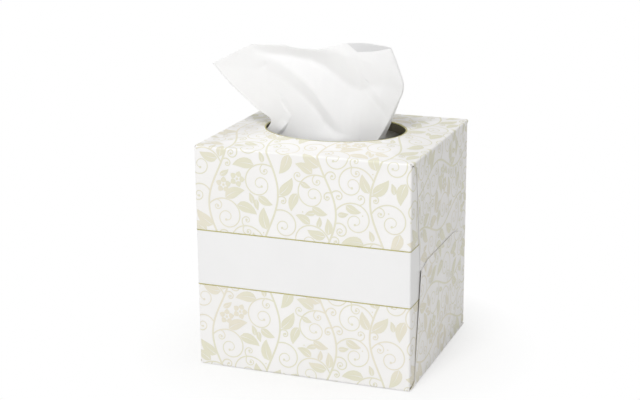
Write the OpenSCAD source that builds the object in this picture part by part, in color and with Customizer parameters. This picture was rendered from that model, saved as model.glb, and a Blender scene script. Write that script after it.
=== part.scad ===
// Carton of facial tissues, upright format: a folded and glued board box with an oval
// opening in its top, the arched pack of sheets inside, and one sheet pulled up ready.
// Millimetres. X runs from the left end to the right end, Y from front to back, Z up.
// The origin is the middle of the bottom face.

/* [Carton] */
// Width of the carton between the folds of its end flaps
carton_w = 121; // [112:1:134]
// Depth of the carton, front face to back face
carton_d = 107; // [98:1:120]
// Height of the carton
carton_h = 123; // [114:1:138]
// Thickness of the board
board_t = 0.45; // [0.3:0.05:0.6]
// Inside radius of every fold
fold_r = 0.6; // [0.4:0.1:1]
// Thickness of the glue between two layers of board
glue_t = 0.1; // [0.05:0.05:0.2]

/* [Opening] */
// Length of the oval opening, left to right
hole_w = 78; // [66:1:84]
// Width of the oval opening, front to back
hole_d = 61; // [50:1:70]
// How far the pack presses up the rim of the opening
crown_h = 2.2; // [0.4:0.2:3.4]

/* [Flaps] */
// How far the lower end flap laps over the upper one
lap = 6; // [4:0.5:12]
// Height of the shoulder beside the fold of an end flap
shoulder_h = 3.5; // [2:0.5:8]
// Step in from the corner of the box at that shoulder
shoulder_in = 8; // [5:0.5:12]
// Step in from the corner of the box at the free end of an end flap
free_in = 16.5; // [13:0.5:24]
// Length of the slope that trims a free corner
trim_l = 11; // [6:0.5:16]
// Height of that slope
trim_h = 2.6; // [1:0.2:4]
// Length of a dust flap
dust_l = 42; // [30:1:46]
// How much narrower a dust flap is at each side of its free end
dust_taper = 5; // [2:0.5:10]
// Gap between a dust flap and the folds above and below it
dust_gap = 1; // [0.6:0.2:2.4]
// Width of the seam flap
seam_w = 14; // [10:0.5:20]
// Height of the back panel's cut edge above the ground
seam_rise = 0.5; // [0.2:0.1:1]

/* [Glue] */
// Distance that the glue keeps from the edges of a flap
glue_margin = 3; // [2:0.5:5]
// Height of each stripe of glue on a dust flap
glue_stripe = 22; // [12:1:28]

/* [Pack of sheets] */
// Length of one sheet
sheet_l = 210; // [200:1:216]
// Free space between the top panel and the crown of the pack
headspace = 10.5; // [8:0.5:16]
// Free space at each end of the pack
pack_side = 1.5; // [1:0.1:3]
// Free space in front of the pack and behind it
pack_front = 0.6; // [0.4:0.1:2]
// Radius of the pack's shoulders
arch_r = 50; // [36:1:52]
// Thickness of the pack over its crown
crown_t = 24; // [16:1:34]
// Width of the slit between the two legs of the pack
slit_w = 2; // [1:0.5:6]
// Step between leaves whose folds face opposite sides
leaf_step = 0.8; // [0.4:0.1:1.2]
// Groups of leaves that show on each leg
leaves = 10; // [6:1:14]

/* [Raised sheet] */
// Height of the raised sheet's peak above the rim of the opening
rise_h = 48.5; // [44:0.5:54]
// Thickness of the raised sheet
tissue_t = 0.3; // [0.2:0.05:0.4]
// Half the gap between the two layers of the sheet at the rim
neck_b = 9; // [7:0.5:11]
// Half that gap at the free edge
open_b = 7; // [5:0.5:9]
// How far below the rim the neck starts to spread
neck_drop = 4; // [3:0.5:5]
// Space between the pack and the layer of the sheet that lies on it
lay_gap = 0.7; // [0.5:0.1:1]
// Space between that layer and the one that comes down from the neck
turn_gap = 1.7; // [1.4:0.1:2.2]
// How far the skirt of the sheet keeps from the front and back of the pack
skirt_in = 2.4; // [2:0.2:6]
// How far the skirt reaches down each shoulder, measured along the pack
skirt_l = 70; // [60:1:72]
// Gathers round the neck
gathers = 13; // [9:1:15]
// Height of the gathers under the top panel
gather_h = 3.4; // [2:0.2:4]

/* [Hidden] */

// Carton
hw = carton_w / 2;
hd = carton_d / 2;
fold_o = fold_r + board_t;             // outside radius of a fold
dust_x = hw - board_t - glue_t;        // outer face of a dust flap
panel_x = hw - fold_o;                 // end of the top and bottom panels
face_x = dust_x - fold_o;              // end of the front and back panels
seam_y = hd - board_t - glue_t;        // outer face of the seam flap
flap_l = (carton_h + lap) / 2;         // height of an end flap
upper_z = carton_h - flap_l;           // free edge of the upper end flap
joggle_z = upper_z - 2;                // where the lower end flap comes clear of the upper one
seam_x = face_x - dust_gap;            // half length of the seam flap
lap_y = hd - free_in - trim_l;         // half length of the straight part of a free edge
lap_margin = 1;
round_fn = 64;
arc_steps = 20;

// Opening and crowned top
rim_fn_x = 30;                         // steps along the front and the back of the top panel
rim_fn_y = 18;                         // steps along each of its ends
rim_rings = 6;

// Pack
clip_x = dust_x - board_t - pack_side;
clip_y0 = -hd + board_t + pack_front;
clip_y1 = seam_y - board_t - pack_front;
crown_z = carton_h - board_t - headspace;
arch_flat = clip_x - arch_r;           // half width of the level part of the crown

// Raised sheet
rim_z = carton_h + crown_h;
close_a = 0.4;                         // where the layers start to close towards the turn
turn_a = 0.94;                         // where the front layer turns to the back
turn_x = 0.012;                        // share of the sheet's width that the turn takes
turn_share = 0.35;                     // share of the depth that is left at the turn
lens = 0.55;                           // how much the back layer draws in towards the turn
back_wave = 1.6;                       // height of the soft waves of the back layer
back_waves = 1.5;                      // waves across the back layer
end_fade = 0.12;                       // how far a crease has faded at its ends
side_gap = 20;                         // angle left open between the side edges in the skirt
settle = 0.4;                          // share of the skirt in which it comes down to the pack
sheet_cols = 64;
rise_rows = 24;
skirt_rows = 9;
turn_rows = 4;
under_rows = 6;
under_reach = 0.9;                     // share of the skirt that the lowest layer covers

// One quarter of a fold, its axis along Z
module quarter(l)
    rotate_extrude(angle = 90, $fn = round_fn)
        translate([fold_r, 0])
            square([board_t, l]);

// Folds whose round side faces the signs given
module fold_x(x0, x1, y, z, sy, sz)
    translate([x0, y, z])
        mirror([0, sy < 0 ? 1 : 0, 0])
            mirror([0, 0, sz < 0 ? 1 : 0])
                rotate([90, 0, 90]) quarter(x1 - x0);

module fold_y(x, y0, y1, z, sx, sz)
    translate([x, y0, z])
        mirror([sx < 0 ? 1 : 0, 0, 0])
            mirror([0, 0, sz < 0 ? 1 : 0])
                rotate([90, 0, 90]) rotate([90, 0, 90]) quarter(y1 - y0);

module fold_z(x, y, z0, z1, sx, sy)
    translate([x, y, z0])
        mirror([sx < 0 ? 1 : 0, 0, 0])
            mirror([0, sy < 0 ? 1 : 0, 0])
                quarter(z1 - z0);

// A slab between two corners
module slab(lo, hi) translate(lo) cube(hi - lo);

// An outline in Y and Z, given a thickness along X from x0
module leaf_x(x0, t, outline)
    translate([x0, 0, 0]) rotate([90, 0, 90]) linear_extrude(t) polygon(outline);

// An outline in X and Z, given a length along Y from y0
module leaf_y(y0, l, outline)
    translate([0, y0 + l, 0]) rotate([90, 0, 0]) linear_extrude(l) polygon(outline);

// Top panel: a grid of rings from the folds to the oval rim, pressed up in the middle
function rim_count() = 2 * (rim_fn_x + rim_fn_y);
function edge_point(i) =
    i < rim_fn_x ? [-1 + 2 * i / rim_fn_x, -1]
    : i < rim_fn_x + rim_fn_y ? [1, -1 + 2 * (i - rim_fn_x) / rim_fn_y]
    : -edge_point(i - rim_fn_x - rim_fn_y);
function top_point(i, s, z) =
    let (e = edge_point(i), a = atan2(e[1], e[0]),
         o = [e[0] * panel_x, e[1] * (hd - fold_o)],
         r = [cos(a) * hole_w / 2, sin(a) * hole_d / 2])
    [o[0] + (r[0] - o[0]) * s, o[1] + (r[1] - o[1]) * s, z + crown_h * (1 - cos(180 * s)) / 2];

module top_panel() {
    n = rim_count();
    m = rim_rings;
    points = [for (z = [carton_h, carton_h - board_t], j = [0:m], i = [0:n - 1]) top_point(i, j / m, z)];
    low = (m + 1) * n;
    skin = [for (j = [0:m - 1], i = [0:n - 1]) let (k = (i + 1) % n)
        each [[j * n + i, (j + 1) * n + i, (j + 1) * n + k], [j * n + i, (j + 1) * n + k, j * n + k]]];
    lower = [for (f = skin) [f[2] + low, f[1] + low, f[0] + low]];
    rims = [for (i = [0:n - 1]) let (k = (i + 1) % n)
        each [[i, k, low + k], [i, low + k, low + i],
              [m * n + k, m * n + i, low + m * n + i], [m * n + k, low + m * n + i, low + m * n + k]]];
    polyhedron(points, concat(skin, lower, rims));
}

// Front, back and bottom panels with the four long folds and the seam flap
module wrap() {
    slab([-face_x, -hd, fold_o], [face_x, -hd + board_t, carton_h - fold_o]);
    slab([-face_x, hd - board_t, seam_rise], [face_x, hd, carton_h - fold_o]);
    slab([-panel_x, -hd + fold_o, 0], [panel_x, seam_y - fold_o, board_t]);
    fold_x(-face_x, face_x, -hd + fold_o, carton_h - fold_o, -1, 1);
    fold_x(-face_x, face_x, hd - fold_o, carton_h - fold_o, 1, 1);
    fold_x(-face_x, face_x, -hd + fold_o, fold_o, -1, -1);
    fold_x(-seam_x, seam_x, seam_y - fold_o, fold_o, 1, -1);
    translate([0, seam_y, fold_o]) rotate([90, 0, 0]) linear_extrude(board_t)
        polygon([[-seam_x, 0], [seam_x, 0], [seam_x - seam_w / 3, seam_w], [-seam_x + seam_w / 3, seam_w]]);
}

// A dust flap of the right end, on the front panel
module dust_flap() {
    z0 = fold_o + dust_gap;
    z1 = carton_h - fold_o - dust_gap;
    y0 = -hd + fold_o;
    fold_z(face_x, y0, z0, z1, 1, -1);
    leaf_x(dust_x - board_t, board_t, [
        [y0, z0], [y0 + dust_l / 3, z0], [y0 + dust_l, z0 + dust_taper],
        [y0 + dust_l, z1 - dust_taper], [y0 + dust_l / 3, z1], [y0, z1]]);
}

// Outline of an end flap in Y and Z, its fold at z 0 and its free edge at z l
function flap_outline(l) = [
    for (s = [-1, 1]) each [for (p = s < 0 ? [0:4] : [4:-1:0]) let (q = [
        [hd - fold_o, 0], [hd - shoulder_in, shoulder_h - fold_o], [hd - free_in, l - trim_h - 1],
        [hd - free_in - 1, l - trim_h], [hd - free_in - trim_l, l]][p])
        [s * q[0], q[1]]]];

// The upper end flap of the right end
module upper_flap() {
    fold_y(panel_x, -hd + fold_o, hd - fold_o, carton_h - fold_o, 1, 1);
    translate([0, 0, carton_h - fold_o]) mirror([0, 0, 1])
        leaf_x(hw - board_t, board_t, flap_outline(flap_l - fold_o));
}

// The lower end flap of the right end, which leans out until it clears the upper one
module lower_flap() {
    fold_y(panel_x, -hd + fold_o, seam_y - fold_o, fold_o, 1, -1);
    intersection() {
        translate([0, 0, fold_o])
            leaf_x(hw - 2 * board_t, 4 * board_t, flap_outline(flap_l - fold_o));
        leaf_y(-hd, carton_d, [
            [hw - board_t, fold_o], [hw + glue_t, joggle_z], [hw + glue_t, flap_l],
            [hw + glue_t + board_t, flap_l], [hw + glue_t + board_t, joggle_z], [hw, fold_o]]);
    }
}

// The flaps of the right end
module end_flaps() {
    dust_flap();
    mirror([0, 1, 0]) dust_flap();
    upper_flap();
    lower_flap();
}

module carton() color([0.93, 0.93, 0.9]) {
    top_panel();
    wrap();
    end_flaps();
    mirror([1, 0, 0]) end_flaps();
}

// Glue along the seam flap
module seam_glue() color([0.85, 0.8, 0.6])
    slab([-seam_x + seam_w / 3 + glue_margin, seam_y, fold_o + glue_margin],
         [seam_x - seam_w / 3 - glue_margin, seam_y + glue_t, fold_o + seam_w - glue_margin]);

// Glue of the right end: two stripes on each dust flap, and one where the end flaps lap
module end_glue() {
    y0 = -hd + free_in + glue_margin;
    y1 = -hd + fold_o + dust_l - glue_margin;
    z0 = fold_o + dust_gap + dust_taper + glue_margin;
    lean = (board_t + glue_t) / (joggle_z - fold_o);
    for (side = [0, 1]) mirror([0, side, 0]) {
        slab([dust_x, y0, carton_h - z0 - glue_stripe], [dust_x + glue_t, y1, carton_h - z0]);
        leaf_y(y0, y1 - y0, [
            [dust_x, z0], [dust_x, z0 + glue_stripe],
            [hw - board_t + lean * (z0 + glue_stripe - fold_o), z0 + glue_stripe],
            [hw - board_t + lean * (z0 - fold_o), z0]]);
    }
    slab([hw, -lap_y, upper_z + lap_margin], [hw + glue_t, lap_y, flap_l - lap_margin]);
}

module right_end_glue() color([0.85, 0.8, 0.6]) end_glue();

module left_end_glue() color([0.85, 0.8, 0.6]) mirror([1, 0, 0]) end_glue();

// Outline of the pack inside leaf k: two legs and an arch over them
function leaf_x_half(k) = slit_w / 2 + (clip_x - slit_w / 2) * (1 - k / leaves);
function leaf_top(k) = crown_z - crown_t * k / leaves;
function leaf_flat(k) = arch_flat * (1 - k / leaves);
function leaf_r(k) = leaf_x_half(k) - leaf_flat(k);
function leaf_foot(k) = max(board_t,
    leaf_top(k) - leaf_r(k) - (sheet_l / 2 - leaf_flat(k) - PI / 2 * leaf_r(k)));

// Half of the outline of leaf k, from the middle of its crown to its foot
function leaf_half(k, foot) = concat(
    [for (i = [0:arc_steps]) let (a = 90 * i / arc_steps)
        [leaf_flat(k) + leaf_r(k) * sin(a), leaf_top(k) - leaf_r(k) * (1 - cos(a))]],
    [[leaf_x_half(k), foot]]);
function reversed(p) = [for (i = [len(p) - 1:-1:0]) p[i]];
function mirrored(p) = [for (q = p) [-q[0], q[1]]];

// Each leaf group is a band of the arch; a sheet's length sets how low it reaches
module tissue_clip() color([0.97, 0.97, 0.96])
    for (k = [0:leaves - 1]) {
        step = k % 2 == 0 ? 0 : leaf_step;
        outer = leaf_half(k, leaf_foot(k));
        inner = leaf_half(k + 1, leaf_foot(k));
        leaf_y(clip_y0 + step, clip_y1 - clip_y0 - 2 * step,
            concat(reversed(mirrored(outer)), outer, reversed(inner), mirrored(inner)));
    }

// Points over the pack: s runs along the arch from its middle, off is the height above it
function arch_point(s, y, off) =
    let (a = max(0, abs(s) - arch_flat) / arch_r * 180 / PI,
         x = min(abs(s), arch_flat) + (arch_r + off) * sin(a))
    [s < 0 ? -x : x, y, crown_z - arch_r + (arch_r + off) * cos(a)];
function arch_s(x) =
    abs(x) <= arch_flat ? x
    : sign(x) * (arch_flat + arch_r * PI / 180 * asin((abs(x) - arch_flat) / arch_r));

// Smooth curve through evenly spaced points
function spline(p, u) =
    let (n = len(p) - 1, s = min(max(u, 0), 0.99999) * n, i = floor(s), t = s - i,
         a = p[max(i - 1, 0)], b = p[i], c = p[i + 1], d = p[min(i + 2, n)])
    b + (c - a) * t / 2 + (2 * a - 5 * b + 4 * c - d) * t * t / 2 + (3 * b - a - 3 * c + d) * t * t * t / 2;

// Edges of the raised sheet, in shares of the opening's width and of the height from the
// neck to the peak
left_edge = [
    [-0.5, 0], [-0.44, 0.145], [-0.54, 0.24], [-0.645, 0.36], [-0.755, 0.49], [-0.895, 0.7]];
right_edge = [
    [0.35, 0], [0.405, 0.18], [0.455, 0.37], [0.495, 0.56], [0.455, 0.76], [0.405, 0.945]];
top_edge = [
    [-0.895, 0.7], [-0.59, 0.93], [-0.33, 0.945], [-0.235, 0.92], [-0.085, 0.92],
    [0.115, 1], [0.19, 0.91], [0.29, 0.915], [0.405, 0.945]];
back_left_edge = [
    [-0.5, 0], [-0.44, 0.145], [-0.485, 0.305], [-0.55, 0.455], [-0.605, 0.61], [-0.64, 0.745]];
back_top_edge = [
    [-0.64, 0.745], [-0.515, 0.8], [-0.385, 0.82], [-0.255, 0.84], [-0.16, 0.87],
    [0.05, 0.95], [0.185, 0.965], [0.385, 0.955], [0.405, 0.945]];
function drawn(p) = [p[0] * hole_w, p[1] * (rise_h + neck_drop) - neck_drop];

// Fold lines across the front layer from the neck up, each point with its depth as a share
// of neck_b
fold_lines = [
    [[-0.53, 0.05, 0.85], [-0.37, 0.05, 1.05], [-0.295, 0.05, 1], [-0.13, 0.05, 1.1],
     [0.075, 0.05, 1.33], [0.225, 0.05, 1.35], [0.51, 0.05, 0.5]],
    [[-0.89, 0.69, 0.65], [-0.6, 0.68, 0.67], [-0.475, 0.65, 0.7], [-0.38, 0.61, 0.78],
     [-0.295, 0.54, 0.87], [-0.195, 0.435, 0.96], [-0.1, 0.315, 1.07], [-0.03, 0.19, 1.18],
     [0.055, 0.09, 1.27], [0.125, 0.06, 1.33], [0.225, 0.06, 1.36], [0.51, 0.06, 0.5]],
    [[-0.89, 0.695, 0.66], [-0.6, 0.8, 0.72], [-0.465, 0.79, 0.83], [-0.37, 0.76, 0.94],
     [-0.285, 0.69, 1.06], [-0.185, 0.59, 1.17], [-0.09, 0.475, 1.28], [-0.06, 0.4, 1.33],
     [0.03, 0.255, 1.39], [0.125, 0.13, 1.39], [0.225, 0.07, 1.36], [0.51, 0.07, 0.5]],
    [[-0.89, 0.697, 0.66], [-0.595, 0.895, 0.72], [-0.515, 0.85, 0.67], [-0.425, 0.827, 0.61],
     [-0.31, 0.82, 0.56], [-0.155, 0.795, 0.5], [-0.055, 0.73, 0.44], [0.02, 0.65, 0.44],
     [0.12, 0.56, 0.5], [0.21, 0.525, 0.61], [0.285, 0.555, 0.61], [0.355, 0.57, 0.56],
     [0.425, 0.545, 0.44], [0.495, 0.51, 0.33]],
    [[-0.89, 0.699, 0.66], [-0.59, 0.925, 0.83], [-0.33, 0.935, 0.89], [-0.235, 0.912, 0.83],
     [-0.085, 0.91, 0.89], [0.063, 0.905, 0.94], [0.12, 0.87, 1], [0.19, 0.868, 1.03],
     [0.3, 0.8, 0.94], [0.345, 0.735, 0.83], [0.43, 0.67, 0.61], [0.5, 0.575, 0.39]],
    [[-0.89, 0.7, 0.66], [-0.59, 0.93, 0.83], [-0.33, 0.945, 0.89], [-0.235, 0.92, 0.83],
     [-0.085, 0.92, 0.89], [0.115, 1, 0.83], [0.19, 0.91, 0.98], [0.29, 0.915, 0.83],
     [0.405, 0.945, 0.4]]];
fold_z = [for (line = fold_lines) [for (p = line) [p[0], p[1]]]];
fold_y = [for (line = fold_lines) [for (p = line) [p[0], p[2]]]];

// Short creases on it: height towards the front, reach on each side, then the line
creases = [
    [1.3, 3.3, 9, [[0.295, 0.555], [0.355, 0.445], [0.415, 0.32]]],
    [-0.7, 1.2, 3, [[-0.365, 0.38], [-0.34, 0.325], [-0.305, 0.26]]],
    [2.2, 4.5, 1, [[-0.305, 0.15], [-0.335, 0.08], [-0.375, 0.025]]],
    [-0.8, 2.2, 2.2, [[-0.51, 0.69], [-0.49, 0.72], [-0.475, 0.75]]]];
crease_lines = [for (c = creases) [for (p = c[3]) drawn(p)]];

// Distance from a line of points: [distance, side, share of the way along it]
function side_of(p, a, b) =
    let (d = b - a, q = p - a, t = min(max((q * d) / (d * d), 0), 1), r = q - d * t,
         s = d[0] * q[1] - d[1] * q[0])
    [norm(r), s < 0 ? -1 : 1, t];
function nearest(p, line, i = 0, best = [1e9, 1, 0]) =
    i >= len(line) - 1 ? best
    : let (c = side_of(p, line[i], line[i + 1]))
      nearest(p, line, i + 1, c[0] < best[0] ? [c[0], c[1], (i + c[2]) / (len(line) - 1)] : best);
function crease_at(p, c, line) =
    let (n = nearest(p, line), along = end_fade + (1 - 2 * end_fade) * n[2])
    c[0] * sin(180 * along) * max(0, 1 - n[0] / (n[1] < 0 ? c[1] : c[2]));
function crease_height(p) =
    [for (i = [0:len(creases) - 1]) crease_at(p, creases[i], crease_lines[i])]
    * [for (c = creases) 1];

// Depth of the flat facets between the fold lines, p in shares
function fold_depth(p) =
    let (z = [for (line = fold_z) lookup(p[0], line)],
         y = [for (line = fold_y) lookup(p[0], line)],
         under = [for (i = [0:len(z) - 2]) if (p[1] > z[i]) i])
    len(under) == 0 ? y[0]
    : let (k = under[len(under) - 1])
      y[k] + (y[k + 1] - y[k]) * min(1, (p[1] - z[k]) / max(z[k + 1] - z[k], 0.001));

// Share of the way from the side edge to the turn, and of the depth: both layers close
// towards the turn
function across(a) = a < turn_a ? a * (1 - turn_x) / turn_a
    : 1 - turn_x + turn_x * sin(90 * (a - turn_a) / (1 - turn_a));
function depth(a) =
    let (close = min(max((a - close_a) / (turn_a - close_a), 0), 1),
         turn = max((a - turn_a) / (1 - turn_a), 0))
    (1 - (1 - turn_share) * pow(close, 1.5)) * cos(90 * turn);

// Patch between the neck and three edges, the top one given by its height over X
function patch(left, right, top, a, t) =
    let (l0 = left[0], l1 = left[len(left) - 1], r0 = right[0], r1 = right[len(right) - 1],
         low = l0 + (r0 - l0) * a, x = l1[0] + (r1[0] - l1[0]) * a)
    spline(left, t) * (1 - a) + spline(right, t) * a + low * (1 - t) + [x, lookup(x, top)] * t
    - (l0 * (1 - a) + r0 * a) * (1 - t) - (l1 * (1 - a) + r1 * a) * t;

// The part above the neck: u runs round both layers, t from the neck to the free edge
function risen(u, t) =
    let (front = u < 0.5, a = front ? 2 * u : 2 - 2 * u, g = across(a),
         share = front ? patch(left_edge, right_edge, top_edge, g, t)
                       : patch(back_left_edge, right_edge, back_top_edge, g, t),
         p = drawn(share),
         b = neck_b + (open_b - neck_b) * t,
         y = front ? -neck_b * fold_depth(share) - crease_height(p)
                   : b * (1 - lens * a * a * a) + back_wave * sin(360 * back_waves * a) * t)
    [p[0], y * depth(a), rim_z + p[1]];

// The skirt under the top panel: w runs from the neck to the edge of the pack
function skirt_at(u, w) =
    let (n = risen(u, 0), q = (2 * u - 1) * (180 - side_gap / 2),
         s = arch_s(n[0]) * (1 - w) + skirt_l * cos(q) * w,
         y = n[1] * (1 - w) + (clip_y1 - skirt_in) * sin(q) * w)
    [s, y];
function skirt(u, w) =
    let (c = skirt_at(u, w), k = min(1, w / settle), ease = k * k * (3 - 2 * k),
         wave = gather_h * (1 - cos(360 * gathers * u)) / 2 * sin(180 * w),
         low = arch_point(c[0], c[1], lay_gap + turn_gap + wave))
    risen(u, 0) * (1 - ease) + low * ease;
function turned(u, q) =
    let (c = skirt_at(u, 1), r = turn_gap / 2, out = r * sin(q), l = norm(c))
    arch_point(c[0] * (1 + out / l), c[1] * (1 + out / l), lay_gap + r + r * cos(q));
function under(u, w) =
    let (c = skirt_at(u, 1) * w) arch_point(c[0], c[1], lay_gap);

// All rows of the sheet, from the free edge down to the edge that lies on the crown
columns = [for (i = [0:sheet_cols]) i / sheet_cols];
sheet_rows = concat(
    [for (j = [0:rise_rows]) [for (u = columns) risen(u, 1 - j / rise_rows)]],
    [for (j = [1:skirt_rows]) [for (u = columns) skirt(u, j / skirt_rows)]],
    [for (j = [1:turn_rows]) [for (u = columns) turned(u, 180 * j / turn_rows)]],
    [for (j = [1:under_rows]) [for (u = columns) under(u, 1 - under_reach * j / under_rows)]]);

function unit(v) = v / norm(v);
function row_normal(g, j, i) =
    let (m = len(g) - 1, n = len(g[0]) - 1,
         du = g[j][min(i + 1, n)] - g[j][max(i - 1, 0)],
         dv = g[min(j + 1, m)][i] - g[max(j - 1, 0)][i])
    unit(cross(du, dv));

// A closed sheet of thickness t about a grid of points
module sheet(g, t) {
    m = len(g);
    n = len(g[0]);
    points = [for (s = [-1, 1], j = [0:m - 1], i = [0:n - 1]) g[j][i] + row_normal(g, j, i) * s * t / 2];
    low = m * n;
    skin = [for (j = [0:m - 2], i = [0:n - 2]) let (a = j * n + i)
        each [[a, a + 1, a + n + 1], [a, a + n + 1, a + n]]];
    lower = [for (f = skin) [f[2] + low, f[1] + low, f[0] + low]];
    edges = concat(
        [for (i = [0:n - 2]) [i + 1, i]],
        [for (i = [0:n - 2]) [(m - 1) * n + i, (m - 1) * n + i + 1]],
        [for (j = [0:m - 2]) [j * n, j * n + n]],
        [for (j = [0:m - 2]) [j * n + 2 * n - 1, j * n + n - 1]]);
    sides = [for (e = edges) each [[e[0], e[1], e[1] + low], [e[0], e[1] + low, e[0] + low]]];
    polyhedron(points, concat(skin, lower, sides));
}

module popup_tissue() color([0.99, 0.99, 0.98]) sheet(sheet_rows, tissue_t);

carton();
seam_glue();
right_end_glue();
left_end_glue();
tissue_clip();
popup_tissue();
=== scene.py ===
# Looks of an upright carton of facial tissues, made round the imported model.
# Lengths are millimetres in the model's frame, and become metres when a mesh is made. The lamps, the floor
# and what is inside materials are in metres.
import math
import random

import bpy
import numpy as np
from mathutils import Matrix, Vector
from mathutils.bvhtree import BVHTree


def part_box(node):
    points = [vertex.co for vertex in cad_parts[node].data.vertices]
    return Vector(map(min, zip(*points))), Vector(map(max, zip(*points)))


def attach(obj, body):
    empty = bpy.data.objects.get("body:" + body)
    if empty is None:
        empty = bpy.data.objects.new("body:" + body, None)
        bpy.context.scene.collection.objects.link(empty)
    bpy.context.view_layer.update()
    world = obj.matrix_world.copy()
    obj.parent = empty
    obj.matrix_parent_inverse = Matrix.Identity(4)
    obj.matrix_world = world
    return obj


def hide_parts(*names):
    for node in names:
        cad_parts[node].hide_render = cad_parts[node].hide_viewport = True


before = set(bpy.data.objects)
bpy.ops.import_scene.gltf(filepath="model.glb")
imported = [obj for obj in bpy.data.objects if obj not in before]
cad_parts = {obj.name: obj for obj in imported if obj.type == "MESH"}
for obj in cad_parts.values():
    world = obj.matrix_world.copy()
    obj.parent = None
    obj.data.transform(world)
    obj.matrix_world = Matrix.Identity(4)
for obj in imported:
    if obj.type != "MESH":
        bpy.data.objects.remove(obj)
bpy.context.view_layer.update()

MM = 0.001

# Sizes of the carton, as in the part's source
BOARD_T = 0.45
GLUE_T = 0.1
FOLD_R = 0.6
HOLE_W = 78.0
HOLE_D = 61.0
CROWN_H = 2.2

carton_hi = np.array(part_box("carton")[1]) / MM
HALF_W = carton_hi[0] - BOARD_T - GLUE_T
HALF_D = carton_hi[1]
RIM_Z = carton_hi[2]
CARTON_H = RIM_Z - CROWN_H
FOLD_O = FOLD_R + BOARD_T
PANEL_X = HALF_W - FOLD_O

# The pack under the raised sheet: flat on top over ARCH_FLAT to each side, then round with radius ARCH_R
pack_hi = np.array(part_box("tissue_clip")[1]) / MM
CROWN_Z = pack_hi[2]
ARCH_R = 50.0
ARCH_FLAT = pack_hi[0] - ARCH_R


def make_mesh(name, points, faces, material, smooth=True):
    """A piece from points in millimetres, riding on the one body."""
    mesh = bpy.data.meshes.new(name)
    mesh.from_pydata([tuple(p) for p in np.asarray(points) * MM], [], [tuple(f) for f in faces])
    mesh.validate()
    mesh.polygons.foreach_set("use_smooth", [smooth] * len(mesh.polygons))
    piece = bpy.data.objects.new(name, mesh)
    bpy.context.scene.collection.objects.link(piece)
    piece.data.materials.append(material)
    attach(piece, "root")
    return piece


# Camera, fitted to the carton's corners in the photograph. CAMERA_SIDE and CAMERA_RISE move its aim across
# the view, and the lens goes with the sensor's width.
CAMERA_AZ = math.radians(20.718)
CAMERA_EL = math.radians(16.100)
CAMERA_ROLL = math.radians(-0.426)
CAMERA_DISTANCE = 813.26
CAMERA_TARGET_Z = 80.0
CAMERA_SIDE = -8.778
CAMERA_RISE = 4.194
CAMERA_LENS = 82.617
CAMERA_SENSOR = 36.0
CAMERA_CLIP = 10.0


def make_camera():
    """The camera at the photograph's viewing angle."""
    sin_a, cos_a = math.sin(CAMERA_AZ), math.cos(CAMERA_AZ)
    sin_e, cos_e = math.sin(CAMERA_EL), math.cos(CAMERA_EL)
    back = Vector((sin_a * cos_e, -cos_a * cos_e, sin_e))
    side = Vector((cos_a, sin_a, 0.0))
    rise = back.cross(side)
    target = Vector((0.0, 0.0, CAMERA_TARGET_Z)) + side * CAMERA_SIDE + rise * CAMERA_RISE
    right = side * math.cos(CAMERA_ROLL) + rise * math.sin(CAMERA_ROLL)
    up = rise * math.cos(CAMERA_ROLL) - side * math.sin(CAMERA_ROLL)
    data = bpy.data.cameras.new("camera")
    data.lens = CAMERA_LENS
    data.sensor_width = CAMERA_SENSOR
    data.clip_start = CAMERA_CLIP * MM
    camera = bpy.data.objects.new("camera", data)
    bpy.context.scene.collection.objects.link(camera)
    place = (target + back * CAMERA_DISTANCE) * MM
    camera.matrix_world = Matrix.Translation(place) @ Matrix((right, up, back)).transposed().to_4x4()
    bpy.context.scene.camera = camera


# Node trees
MIX_A = 6  # a Mix node's sockets for colours
MIX_B = 7
MIX_RESULT = 2


def feed(tree, value, socket):
    """Gives a socket the output of another node, or a plain value."""
    if isinstance(value, bpy.types.NodeSocket):
        tree.links.new(value, socket)
    else:
        socket.default_value = value


def add_node(tree, kind, values=None):
    """A node with what its sockets are fed, by their names."""
    node = tree.nodes.new("ShaderNode" + kind)
    for name, value in (values or {}).items():
        feed(tree, value, node.inputs[name])
    return node


def add_math(tree, kind, operation, *values):
    """Outputs of a Math or VectorMath node that is fed in the order of its sockets."""
    node = add_node(tree, kind)
    node.operation = operation
    for socket, value in zip(node.inputs, values):
        feed(tree, value, socket)
    return node.outputs


def map_range(tree, value, given, wanted=(0.0, 1.0)):
    """A value brought from one range to another, and kept inside it."""
    limits = {"From Min": given[0], "From Max": given[1], "To Min": wanted[0], "To Max": wanted[1]}
    return add_node(tree, "MapRange", {"Value": value, **limits}).outputs[0]


def mix_colors(tree, share, a, b):
    """A colour between a, where the share is 0, and b, where it is 1."""
    mix = add_node(tree, "Mix")
    mix.data_type = "RGBA"
    feed(tree, share, mix.inputs["Factor"])
    feed(tree, a, mix.inputs[MIX_A])
    feed(tree, b, mix.inputs[MIX_B])
    return mix.outputs[MIX_RESULT]


def end_in_mix(tree, output, share, first, second):
    """Ends a tree in a mix of two shaders: the first where the share is 0, the second where it is 1."""
    mix = add_node(tree, "MixShader", {"Fac": share})
    feed(tree, first.outputs[0], mix.inputs[1])
    feed(tree, second.outputs[0], mix.inputs[2])
    add_node(tree, output, {"Surface": mix.outputs[0]})


def noise(tree, scale, detail=3.0, rough=0.5, place=None):
    """Noise about 0.5, in the object's own coordinates unless a place is given."""
    if place is None:
        place = add_node(tree, "TexCoord").outputs["Object"]
    values = {"Vector": place, "Scale": scale, "Detail": detail, "Roughness": rough}
    return add_node(tree, "TexNoise", values).outputs["Fac"]


def add_bump(tree, shader, height, strength, distance):
    """Bumps on a shader from a height."""
    bump = add_node(tree, "Bump", {"Height": height, "Strength": strength, "Distance": distance})
    feed(tree, bump.outputs[0], shader.inputs["Normal"])


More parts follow.
